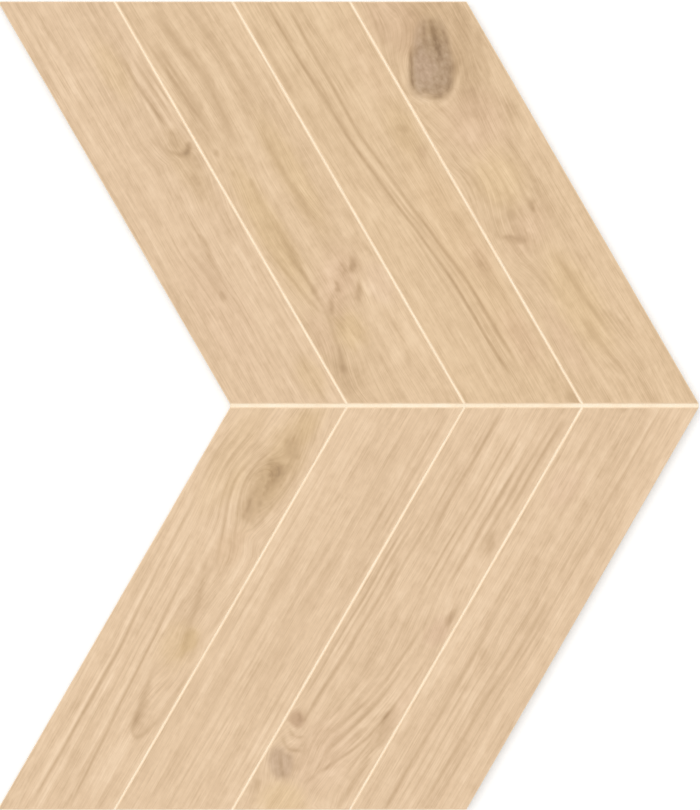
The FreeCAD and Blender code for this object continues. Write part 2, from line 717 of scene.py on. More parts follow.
def ovals(effect: str, edge: float, *rows: tuple[float, ...]) -> tuple[Patch, ...]:
    """Patches that have one effect and the same edge.

    Args:
        effect: The effect, which is the name of one of the values of Patch.
        edge: The patches' edge.
        rows: For each patch the strength of the effect, the centre's u and v, the half-sizes along and
            across, and the turn if it has one.

    Returns:
        The patches.
    """
    return tuple(
        Patch((u, v), (along, across), turn=sum(turn), edge=edge, **{effect: strength})
        for strength, u, v, along, across, *turn in rows
    )


FIGURES: dict[tuple[Row, int], StripFigure] = {
    (Row.UPPER, 1): StripFigure(
        seed=11.3,
        light=-0.04,
        streaks=(
            streak(0.35, 0.8, (50, 41), (78, 40.5), (103, 43)),
            streak(0.4, 0.8, (54, 45), (80, 46), (101, 47)),
            streak(0.35, 0.8, (58, 49), (95, 49.5)),
            streak(-0.3, 0.8, (56, 43), (80, 43.3), (105, 45.5)),
            streak(-0.4, 0.7, (62, 47.5), (100, 48.5)),
            streak(0.28, 1.2, (99, 33), (108, 36), (114, 41), (116, 48), fade=6.0),
            streak(0.25, 2.0, (160, 22), (178, 23.5), (193, 26)),
            streak(-0.3, 1.2, (196, 26), (234, 26.5)),
            streak(0.2, 1.2, (200, 31), (240, 31)),
            streak(0.24, 0.6, (150, 44), (244, 44.5)),
            streak(0.22, 0.6, (30, 24), (98, 24.5)),
            streak(0.22, 0.6, (160, 35), (252, 35)),
        ),
        patches=(
            Patch((122, 42), (26, 9), light=-0.3, olive=0.3, speckle=0.4),
            Patch((60, 33), (22, 9), olive=0.5, light=-0.1),
            Patch((245, 42), (16, 8), olive=0.5, light=-0.15),
            Patch((195, 20), (42, 16), light=-0.08, pink=0.3),
            Patch((187, 24), (3.5, 2.0), line=0.35),
            Patch((114, 45.5), (3.0, 4.5), line=0.36, edge=1.0),
            *ovals(
                "light", 0.8,
                (0.65, 38, 11.8, 34, 2.4), (-0.35, 50, 42, 4, 4), (0.5, 50, 12.5, 26, 2.5),
                (0.45, 68, 42.5, 9, 2), (-0.45, 72, 47, 9, 1.8), (-0.45, 85, 42, 14, 1.8),
                (0.45, 88, 14, 22, 2), (0.6, 88, 39.5, 9, 1.8), (0.4, 100, 45, 5, 2),
                (-0.4, 104, 45, 3.5, 3.5), (-0.45, 107, 42, 3.5, 5), (-0.45, 114, 47, 3, 4),
                (-0.4, 115.5, 46, 3, 3), (-0.4, 133, 32, 7, 2.6), (-0.3, 135, 43, 10, 6),
                (-0.55, 155, 30, 16, 2.5), (-0.6, 161, 29, 14, 2.6), (0.4, 176, 43, 14, 3),
                (0.85, 188, 43.3, 26, 2.6), (0.35, 205, 13, 14, 5), (0.3, 222, 43, 14, 2),
                (-0.25, 240, 18, 10, 2.5),
            ),
        ),
        knots=(
            Knot((117, 46), (16, 8), 0.6),
        ),
    ),
    (Row.UPPER, 2): StripFigure(
        seed=23.9,
        light=-0.12,
        olive=0.25,
        streaks=(
            streak(0.45, 2.0, (12, 14), (35, 17), (55, 20), (72, 19), (94, 17)),
            streak(0.25, 1.8, (16, 30), (50, 33), (84, 34)),
            streak(0.5, 1.2, (20, 3), (50, 5), (88, 9)),
            streak(0.4, 1.2, (26, 6.5), (60, 8.5), (88, 10)),
            streak(-0.35, 1.0, (18, 11), (50, 13), (80, 13)),
            streak(0.3, 1.1, (150, 5), (175, 8), (201, 14)),
            streak(0.35, 1.1, (148, 11), (176, 14), (200, 12), (222, 7)),
            streak(0.3, 1.4, (90, 32), (120, 30), (150, 33)),
            streak(0.1, 1.4, (128, 17), (152, 17), (178, 20)),
            streak(-0.15, 1.0, (206, 41), (247, 43)),
            streak(-0.4, 1.0, (210, 46), (248, 48)),
            streak(0.08, 0.9, (208, 44), (248, 45.5)),
        ),
        patches=(
            Patch((140, 10), (46, 9), olive=0.6, light=-0.08),
            Patch((120, 34), (40, 9), olive=0.5, light=-0.06),
            Patch((180, 27), (24, 14), turn=-40.0, light=-0.12, pink=0.9, speckle=0.55, edge=1.0),
            Patch((205, 20), (13, 10), olive=0.6, light=-0.15),
            Patch((192, 45), (14, 8), light=0.2, pink=0.3, olive=-0.3),
            Patch((200, 6), (16, 7), light=-0.12, pink=0.5),
            *ovals(
                "line", 1.0,
                (0.3, 68, 11, 3, 1.6), (0.36, 93, 6, 3.5, 2), (0.3, 106, 8, 3, 1.6),
                (0.06, 162, 44, 8, 2.6, -10), (0.44, 176, 38, 6, 2.8, -30),
                (0.28, 178, 14.5, 4, 2.4, -30), (0.25, 183, 25, 4.5, 2.4, -30),
                (0.38, 189, 34.5, 5, 2.4, -30), (0.44, 190, 17, 5, 2.6, -30), (0.42, 220, 7, 3.8, 2.6),
            ),
            *ovals(
                "light", 0.8,
                (-0.25, 14, 22, 12, 9), (0.7, 35, 3.3, 13, 2.5), (-0.4, 45, 23, 40, 1.8),
                (0.55, 46, 38.5, 28, 2.2), (0.3, 56, 20.5, 14, 1.8), (-0.5, 68, 2, 16, 5),
                (-0.35, 84, 5, 10, 4), (-0.4, 118, 14, 8, 2), (0.3, 125, 28.5, 22, 3),
                (0.45, 128, 36, 14, 2.5), (-0.5, 142, 12, 34, 4), (-0.2, 150, 5, 20, 4),
                (-0.4, 155, 14, 26, 2), (-0.4, 155, 14.5, 26, 2), (0.5, 158, 44, 9, 4),
                (0.4, 178, 45, 7, 3), (-0.3, 179, 38, 6, 3), (0.5, 190, 12.5, 7, 2),
                (0.75, 190, 39, 6, 4), (-0.5, 191, 33, 5, 4), (-0.5, 197, 17, 8, 3),
                (-0.45, 197, 19, 9, 2.5, -15), (0.4, 201, 42, 12, 3), (0.45, 208, 36, 30, 4.5),
                (-0.5, 214, 10, 8, 3, -25), (-0.5, 218, 41, 11, 1.8), (0.5, 226, 45.5, 28, 2.2),
                (-0.7, 228, 6, 17, 9), (0.4, 229, 34, 8, 4),
            ),
            *ovals(
                "light", 1.0,
                (0.3, 160, 42, 5, 4.5), (0.6, 172, 28.5, 5, 5), (0.7, 176, 26, 5, 5),
                (0.45, 181, 22, 4.5, 3), (0.5, 182, 21, 5, 2.5), (0.4, 188, 30, 4, 4),
            ),
        ),
        knots=(
            Knot((184, 27), (24, 14), 0.5),
        ),
    ),
    (Row.UPPER, 3): StripFigure(
        seed=37.1,
        light=-0.13,
        olive=0.4,
        streaks=(
            streak(
                0.55, 0.95,
                (10, 13.5), (75, 15.5), (105, 17.5), (133, 20.5), (150, 23), (180, 25.5), (238, 27),
            ),
            streak(
                0.48, 0.95,
                (15, 22.5), (80, 22), (110, 23.5), (133, 26), (160, 29.5), (190, 32), (238, 33),
            ),
            streak(0.35, 0.75, (112, 20.5), (133, 23), (150, 26), (180, 28.5, 0.6), (238, 30, 0.4)),
            streak(-0.4, 0.8, (105, 21.5), (133, 24.5), (160, 27.5), (190, 30.2), (238, 31.5)),
            streak(-0.4, 1.2, (20, 18.5), (75, 18.5), (110, 20.5), (135, 23.5)),
            streak(-0.35, 1.0, (130, 29), (160, 32.5), (190, 35), (238, 36)),
            streak(0.25, 1.0, (140, 19.5), (165, 21), (203, 21.5), (240, 21.5)),
            streak(0.4, 1.6, (8, 3), (64, 3)),
            streak(0.08, 1.4, (60, 28), (95, 29), (125, 32)),
            streak(0.12, 1.2, (70, 10.5), (110, 12.5), (130, 15)),
        ),
        patches=(
            Patch((115, 45), (5, 2.4), line=0.2, pink=0.4),
            Patch((100, 42), (20, 9), light=-0.15, olive=0.3),
            Patch((190, 28), (62, 10), light=-0.05, ring=0.5),
            Patch((175, 43), (14, 8), light=0.05, pink=0.4),
            Patch((222, 42), (20, 9), pink=0.6, light=-0.08),
            Patch((60, 43), (30, 9), pink=0.3),
            Patch((172, 38), (72, 15), light=0.1, pink=0.4, olive=0.3),
            *ovals(
                "line", 0.8,
                (0.25, 99, 42, 5, 2.4, 50), (0.35, 263, 49, 7, 3.5),
            ),
            *ovals(
                "light", 0.8,
                (-0.6, 29, 17.5, 11, 2.4), (-0.3, 60, 18, 45, 2.2), (0.65, 62, 42.5, 5, 3.5),
                (-0.35, 73, 4, 14, 2.2), (0.4, 75, 27.5, 14, 2.8), (-0.3, 75, 18, 34, 2.2),
                (-0.4, 75, 5, 20, 2.5), (0.25, 78, 47, 12, 3), (0.4, 82, 30, 16, 2.5),
                (0.25, 105, 28.5, 14, 2), (-0.4, 112, 34.5, 30, 3), (0.45, 127, 9.5, 12, 2.5),
                (-0.35, 137, 36, 8, 3), (0.5, 145, 33, 24, 2, 4), (-0.45, 150, 6, 20, 2.5),
                (-0.4, 158, 44, 8, 4), (0.25, 165, 14, 22, 2.5), (0.35, 165, 26.5, 18, 2),
                (-0.3, 185, 41.5, 14, 4), (-0.5, 185, 44, 20, 4), (0.75, 200, 28.6, 32, 3.4),
                (0.35, 202, 14.5, 5, 2.5), (0.45, 205, 16, 42, 2.2, 2), (0.25, 225, 34, 20, 2),
                (0.2, 232, 16.5, 16, 2), (-0.25, 240, 38, 14, 2.5), (-0.25, 246, 22, 8, 4),
            ),
            *ovals(
                "light", 1.0,
                (0.25, 150, 18, 38, 9),
            ),
        ),
    ),
    (Row.UPPER, 4): StripFigure(
        seed=41.7,
        light=-0.08,
        olive=0.3,
        streaks=(
            streak(-0.45, 1.2, (52, 33), (60, 30), (67, 23), (69, 15), (66, 8), fade=6.0),
            streak(0.55, 1.8, (27, 31), (36, 28.5), (45, 26.0), (50, 24), fade=7.0),
            streak(0.3, 1.3, (30, 35), (40, 32.5), (50, 29), fade=7.0),
            streak(0.3, 1.2, (24, 29), (33, 24), (42, 20), fade=7.0),
            streak(0.5, 1.1, (34, 15.5), (42, 11.2), (50, 7.2), (57, 4.6), fade=5.0),
            streak(0.3, 1.5, (57, 4.5), (61, 8.5), (64, 13), (65, 18), fade=3.0),
            streak(0.55, 1.8, (52, 30), (58, 26.5), (63.5, 22.5), (65.5, 18), fade=4.0),
            streak(0.3, 1.0, (98, 7), (112, 9), (134, 8)),
            streak(0.3, 1.0, (97, 13), (112, 16), (135, 13)),
            streak(0.3, 1.0, (98, 19.5), (114, 21.5), (137, 19)),
            streak(0.3, 1.0, (100, 26), (116, 28), (138, 26)),
            streak(0.35, 1.2, (158, 8), (170, 12.5), (186, 14)),
            streak(0.3, 1.0, (158, 13), (172, 17), (190, 18)),
            streak(0.4, 1.4, (196, 21), (214, 23), (238, 27)),
            streak(0.35, 1.6, (160, 27), (200, 28), (230, 32)),
        ),
        patches=(
            Patch(
                (45.5, 20.8), (21.5, 11.2), turn=-30.0, knot=0.6,
                taper=0.22, edge=0.4, tear=0.22, power=3.2,
            ),
            Patch(
                (48.5, 19), (16, 10), turn=-30.0, knot=0.4,
                taper=0.15, edge=0.5, tear=0.25, power=2.8,
            ),
            Patch((48, 16), (10, 6.5), turn=-30.0, light=0.6, pink=0.8, edge=0.9, tear=0.3),
            Patch((40, 23), (38, 21), turn=-30.0, light=-0.75, pink=0.35, olive=0.2, edge=1.0),
            Patch((61, 13), (4.5, 10), turn=-30.0, light=-0.3, speckle=0.9, edge=1.0, tear=0.4),
            Patch((36, 27), (14, 7), turn=-30.0, light=-0.4, olive=0.4, edge=1.0),
            Patch((18, 14), (28, 16), light=-0.15, pink=0.7),
            Patch((85, 24), (22, 20), light=-0.12, pink=0.8),
            Patch((116, 20), (20, 16), olive=0.5),
            Patch((146, 20), (20, 13), turn=-60.0, light=-0.4, pink=0.6, speckle=0.5, edge=1.0),
            Patch((146, 11), (9, 2.8), turn=58.0, line=0.42, speckle=0.3, edge=1.0),
            Patch((136, 28), (5.5, 3.2), turn=-30.0, line=0.36, speckle=0.3, edge=1.0),
            Patch((190, 24), (36, 14), olive=0.5),
            Patch((205, 8), (24, 7), pink=0.5, light=-0.05),
            Patch((55, 23.5), (8, 5), turn=-45.0, light=-0.7, knot=0.15, edge=1.0),
            *ovals(
                "line", 1.0,
                (0.2, 128, 14, 4, 2.2), (0.32, 135, 16, 4.5, 2.8),
            ),
            *ovals(
                "light", 0.8,
                (-0.5, 40, 44, 22, 4), (0.4, 43, 7, 12, 3.5, -35), (0.5, 61, 6, 9, 3, 50),
                (-0.35, 82, 28, 4, 6), (0.5, 87, 19, 7, 6), (-0.45, 88, 42, 14, 4), (-0.45, 88, 43, 5, 3),
                (0.45, 92, 34.5, 8, 2.5), (0.5, 102, 46, 6, 4, -40), (0.3, 108, 21, 26, 7),
                (-0.45, 112, 5.5, 12, 1.8), (0.4, 113, 14, 20, 2), (0.45, 115, 26.5, 16, 2),
                (-0.4, 118, 33, 26, 4.5), (-0.45, 133, 20, 9, 4), (-0.4, 135, 36, 14, 4),
                (-0.65, 136, 6, 8, 4.5), (0.6, 148, 22, 8, 3), (0.45, 155, 13.5, 20, 2.2, 8),
                (-0.35, 170, 47, 26, 2), (0.3, 176, 17, 7, 2.2), (0.3, 193, 15, 18, 2.5),
                (0.75, 209, 28.5, 16, 2.8, 8), (-0.55, 213, 36.5, 14, 3, 12),
                (0.35, 217, 23.5, 14, 2.4, 8), (0.35, 220, 29, 18, 4, 10),
            ),
            *ovals(
                "light", 1.0,
                (-0.35, 20, 30, 10, 12), (0.5, 35, 24, 9, 8, -30), (-0.85, 45, 43, 26, 7.5),
                (0.7, 46, 45, 12, 3.5, -20), (-0.6, 48, 27, 4, 4), (-0.6, 52, 33, 12, 6, -40),
                (0.7, 60, 8, 5.5, 4, 45), (-0.5, 61, 17, 4, 3.5), (-0.5, 62, 17, 4, 4),
                (-0.5, 64, 37, 18, 8), (-0.7, 66, 31, 16, 8, -45), (0.6, 73, 25, 6, 5),
                (-0.45, 74, 29, 9, 9), (0.7, 142, 23.5, 10, 3.2, -15),
            ),
        ),
        knots=(
            Knot((49, 20), (32, 17), 0.9),
            Knot((143, 15), (20, 12), 0.7),
        ),
    ),
    (Row.LOWER, 1): StripFigure(
        seed=53.3,
        light=0.08,
        streaks=(
            streak(0.35, 0.9, (50, 8), (100, 10), (145, 13, 1.5), (228, 13.5, 1.5)),
            streak(-0.5, 0.9, (60, 7), (110, 9), (150, 11), (228, 11.5)),
            streak(0.16, 1.0, (58, 14), (90, 17), (115, 19), (228, 20)),
            streak(-0.4, 0.9, (80, 13), (120, 16), (228, 17)),
            streak(0.4, 0.9, (75, 22), (120, 25), (160, 27), (185, 29), (218, 31)),
            streak(-0.35, 0.9, (80, 20), (120, 22.5), (218, 25)),
            streak(0.25, 1.8, (68, 27), (90, 34), (108, 38), (117, 42), fade=8.0),
            streak(
                0.36, 1.4,
                (130, 32), (150, 36), (165, 38), (169, 43), (160, 47), (150, 49), (120, 49.5),
            ),
            streak(-0.12, 1.0, (128, 35), (148, 39), (160, 41), (150, 45), (130, 46)),
            streak(0.3, 1.0, (80, 49), (110, 49)),
            streak(0.25, 0.9, (0, 8), (30, 5.5), (62, 9)),
            streak(0.25, 0.9, (2, 13), (30, 10), (60, 15)),
            streak(0.28, 1.0, (4, 17), (30, 13.5), (60, 20)),
            streak(0.3, 1.0, (8, 21), (30, 17.5), (62, 26)),
            streak(0.35, 1.1, (12, 25), (32, 21), (58, 29), (76, 36)),
            streak(0.28, 0.8, (6, 29), (22, 26), (36, 27), (52, 33), (60, 39), fade=6.0),
            streak(0.24, 0.8, (10, 46), (28, 45), (46, 42), (54, 37), fade=6.0),
            streak(-0.3, 0.8, (9, 27), (24, 23.5), (40, 24.5), (56, 31), (66, 37), fade=6.0),
            streak(-0.3, 1.2, (-2, 10.5), (30, 7.5), (70, 12)),
        ),
        patches=(
            Patch((12, 36), (42, 14), light=-0.65, olive=0.7, speckle=0.2, edge=1.0),
            Patch((16, 34), (17, 9), turn=-14.0, light=-0.4, speckle=0.4, edge=1.0),
            Patch((38, 34.5), (12, 6.0), turn=12.0, light=-0.45, line=0.26, speckle=0.4, edge=1.0),
            Patch((33, 40), (13, 5), turn=10.0, light=-0.1, line=0.14, speckle=0.3, edge=1.0),
            Patch((21, 36), (10, 7), light=-0.2, line=0.14, speckle=0.2, edge=1.0),
            Patch((-14, 40), (14, 7), light=-0.15, olive=0.4, edge=1.0),
            Patch((33, 22), (16, 6), light=-0.2, olive=0.3, edge=1.0),
            Patch((114, 42), (10, 5), line=0.3, olive=0.6, speckle=0.3),
            Patch((118, 38), (16, 12), olive=0.5),
            Patch((62, 36), (14, 9), pink=0.5, olive=0.3),
            Patch((20, 14), (40, 12), olive=0.3),
            Patch((150, 20), (90, 14), ring=0.3),
            Patch((2, 38), (9, 6), turn=40.0, line=0.26, edge=1.0),
            *ovals(
                "light", 0.8,
                (-0.5, 10, 42, 9, 3), (-0.4, 15, 8, 22, 3, -10), (-0.5, 18, 41, 5, 4),
                (-0.35, 30, 47.5, 9, 2), (0.4, 35, 25, 14, 3, 10), (0.5, 38, 14, 14, 4),
                (-0.4, 44, 42, 5, 5), (0.3, 45, 30, 4, 3), (0.3, 52, 46.5, 7, 3), (0.2, 55, 15, 28, 2.5),
                (-0.45, 55.5, 39.5, 4, 2.5), (0.5, 60, 6, 22, 2), (0.4, 66, 32, 7, 2.5, 10),
                (0.3, 84, 31, 6, 3), (0.35, 89, 38, 7, 3), (-0.5, 92, 11.5, 10, 2),
                (0.25, 98, 7.5, 20, 2.5), (0.45, 108, 27.5, 12, 2), (0.45, 113, 9, 20, 2),
                (-0.4, 114, 46.5, 12, 3), (0.3, 120, 19, 24, 3), (-0.3, 125, 44, 8, 3),
                (0.35, 137, 15, 10, 1.8), (0.5, 143, 16.5, 20, 2.2), (0.3, 150, 18.5, 55, 2.2),
                (-0.4, 155, 13.5, 22, 1.8), (-0.65, 157, 39, 14, 3, 12), (-0.4, 162, 39.5, 8, 2),
                (0.65, 162, 34, 10, 2.8), (0.45, 172, 26.5, 10, 2.5), (-0.5, 185, 14, 36, 1.8),
                (0.45, 190, 38, 28, 6), (0.55, 212, 27, 10, 1.8),
            ),
            *ovals(
                "light", 1.0,
                (-0.7, 13, 22, 7, 5, -20), (0.35, 18, 33, 5, 5), (0.4, 24, 34, 4, 4), (0.4, 36, 36, 4, 3),
                (0.25, 97, 22, 18, 8),
            ),
        ),
        knots=(
            Knot((20, 35), (42, 16), 0.8),
        ),
    ),
    (Row.LOWER, 2): StripFigure(
        seed=61.9,
        light=0.02,
        ring=0.3,
        streaks=(
            streak(0.22, 2.8, (68, 15.5), (224, 15.5)),
            streak(0.15, 2.8, (-17, 33), (95, 33), (128, 33, 1.4), (164, 33)),
            streak(0.2, 1.8, (116, 3), (224, 3)),
            streak(-0.25, 1.4, (146, 21), (224, 21)),
            streak(-0.25, 1.4, (146, 27), (224, 27)),
            streak(-0.2, 2.4, (-10, 9.5), (224, 9.5)),
            streak(0.3, 0.6, (-22, 42), (60, 42)),
            streak(0.26, 0.6, (-24, 46), (50, 46.5)),
            streak(0.3, 0.6, (70, 44.5), (196, 44)),
            streak(0.26, 0.6, (96, 47.5), (200, 47.5)),
            streak(0.26, 0.6, (110, 22), (230, 22.5)),
            streak(0.24, 0.6, (124, 26.5), (226, 26)),
            streak(0.22, 0.6, (8, 5), (120, 5.5)),
        ),
        patches=(
            *ovals(
                "light", 0.8,
                (0.6, 10, 42, 32, 2.8), (0.55, 42, 25, 38, 2.3), (0.45, 48, 44, 20, 2.8),
                (0.55, 95, 44.8, 42, 2.2), (-0.3, 112, 38.5, 24, 2), (0.4, 133, 24.5, 4, 4),
                (0.45, 160, 45.3, 32, 2), (-0.3, 206, 33, 14, 3.5), (-0.25, 213, 8, 9, 2),
            ),
        ),
    ),
    (Row.LOWER, 3): StripFigure(
        seed=73.1,
        streaks=(
            streak(0.42, 1.0, (-12, 17, 1.2), (50, 17), (68, 17.5)),
            streak(0.25, 1.0, (-2, 8), (60, 8.5)),
            streak(0.5, 1.0, (82, 11), (135, 10), (182, 8.5)),
            streak(-0.4, 0.8, (90, 8.5), (150, 7.5), (178, 6)),
            streak(0.45, 1.0, (106, 37), (140, 34.5), (160, 30), (180, 23)),
            streak(0.45, 1.0, (121, 40.5), (150, 37), (170, 32), (189, 26)),
            streak(0.5, 1.1, (146, 45), (170, 41), (190, 33), (208, 24)),
            streak(-0.35, 0.9, (118, 38.5), (150, 34.5), (170, 30), (186, 24)),
            streak(0.4, 1.0, (2, 38), (84, 38)),
            streak(-0.35, 0.9, (4, 40), (70, 40)),
            streak(0.4, 0.9, (-20, 42.5), (60, 42)),
            streak(-0.4, 0.9, (-22, 44.5), (50, 44.5)),
            streak(0.4, 1.0, (-24, 46.5), (42, 46)),
            streak(0.4, 0.6, (0, 27), (96, 27.5)),
            streak(0.34, 0.6, (-8, 30.5), (92, 31)),
            streak(0.2, 0.6, (-10, 34.5), (88, 34.5)),
            streak(-0.3, 0.6, (-6, 32.5), (84, 33)),
            streak(0.4, 0.6, (66, 3.5), (172, 3)),
            streak(0.34, 0.6, (60, 6.3), (150, 5.6)),
            streak(-0.3, 0.6, (64, 4.9), (160, 4.3)),
            streak(0.34, 0.6, (20, 12.5), (120, 13.5)),
            streak(0.3, 0.6, (120, 47.5), (196, 41)),
            streak(0.4, 0.9, (186, 2), (189, 8), (186, 14), fade=4.0),
            streak(-0.4, 0.8, (188.5, 2), (192, 8), (189, 15), fade=4.0),
            streak(0.4, 0.9, (192, 2), (196, 9), (192, 17), fade=4.0),
            streak(0.4, 1.2, (199, 5), (206, 11), (211, 15), fade=4.0),
        ),
        patches=(
            Patch((181, 5), (5.5, 5.0), line=0.42, pink=0.9, edge=0.7, tear=0.3),
            Patch(
                (204, 9), (9.5, 7), turn=35.0, knot=0.5, light=-0.3, pink=0.3, speckle=0.2,
                edge=0.6, tear=0.3,
            ),
            Patch((163, 47), (14, 4.0), line=0.35, speckle=0.3),
            Patch((97, 47), (6, 2.4), line=0.5, pink=0.3, edge=1.0),
            Patch((107, 45), (10, 7), light=-0.25, pink=0.8),
            Patch((222, 20), (14, 16), olive=0.7),
            Patch((165, 34), (36, 14), ring=0.4, light=-0.05),
            Patch((190, 25), (26, 20), pink=0.4, light=-0.08),
            Patch((148, 48), (18, 5), pink=0.3, light=0.1),
            *ovals(
                "line", 1.0,
                (0.38, 54, 46, 8, 2.8, 20), (0.32, 220, 4, 3.5, 3),
            ),
            *ovals(
                "light", 0.8,
                (-0.35, -8, 28, 8, 1.8), (0.35, -4, 41.5, 18, 1.8), (0.75, 10, 35, 30, 2.7),
                (0.4, 18, 36, 22, 2), (0.25, 40, 17, 18, 1.8), (0.35, 47, 40.5, 8, 2.5),
                (-0.35, 48, 44, 4, 2), (0.6, 50, 34.5, 26, 3), (-0.35, 60, 46, 6, 2.5),
                (0.35, 79, 42.5, 8, 2.5), (-0.6, 94, 47.5, 9, 2.4), (0.3, 97, 8, 14, 2.5),
                (0.4, 98, 19.2, 34, 2.2), (0.35, 112, 11, 20, 3.5), (-0.35, 130, 47.5, 6, 2),
                (0.5, 138, 39, 14, 2.2, -8), (0.35, 144, 42, 8, 3), (0.35, 145, 33, 16, 5, -15),
                (-0.5, 152, 43, 8, 3), (0.3, 163, 43, 9, 1.5), (-0.8, 165, 39.5, 17, 2.6, -22),
                (-0.3, 170, 22, 10, 3), (0.4, 176, 30.5, 7, 1.8, -20), (-0.5, 177, 6, 4, 4),
                (-0.45, 177, 37, 10, 2.5, -20), (-0.4, 183, 20, 8, 4), (0.4, 187, 7, 4, 6),
                (-0.8, 188, 46, 24, 2.8), (-0.4, 190, 29, 12, 2.2, -25), (0.4, 194, 39, 10, 2.2),
                (0.5, 196, 33, 10, 2.6, -50), (-0.45, 197, 17, 11, 5), (0.4, 197, 15, 6, 3),
                (-0.55, 224, 2, 3, 3),
            ),
        ),
        knots=(
            Knot((182, 4), (9, 7), 0.7),
            Knot((205, 10), (17, 12), 0.9),
        ),
    ),
    (Row.LOWER, 4): StripFigure(
        seed=89.7,
        light=0.02,
        ring=0.3,
        streaks=(
            streak(0.4, 1.2, (86, 33), (120, 34), (150, 32), (218, 31)),
            streak(0.35, 1.2, (116, 15), (160, 15, 1.3), (234, 15, 1.3)),
            streak(0.25, 1.1, (-17, 31), (34, 31)),
            streak(0.25, 1.1, (-7, 11), (34, 11)),
            streak(0.3, 0.6, (-20, 35), (80, 35.5)),
            streak(0.26, 0.6, (-22, 39), (70, 39)),
            streak(0.3, 0.6, (120, 19), (228, 19.5)),
            streak(0.26, 0.6, (130, 23), (226, 23)),
            streak(0.28, 0.6, (60, 37.5), (206, 36)),
            streak(0.24, 0.6, (84, 28.5), (220, 27.5)),
        ),
        patches=(
            Patch((40, 12), (14, 10), pink=0.5),
            *ovals(
                "line", 0.8,
                (0.4, -10, 18, 4.5, 2.8), (0.2, 134, 19, 4, 3.6),
            ),
            *ovals(
                "light", 0.8,
                (0.4, -8, 37.5, 14, 2), (-0.18, 12, 18.5, 22, 5.5), (-0.3, 22, 48, 18, 2),
                (0.4, 28, 39.5, 20, 2), (-0.25, 105, 30, 22, 1.8), (0.4, 116, 34.5, 14, 1.8),
                (0.3, 119, 41, 6, 2), (0.6, 136, 11, 20, 3), (0.35, 170, 9.5, 26, 2.2),
                (-0.25, 192, 19, 16, 2), (0.3, 205, 14, 20, 1.6),
            ),
        ),
        knots=(
            Knot((134, 19), (8, 5), 0.6),
        ),
    ),
}


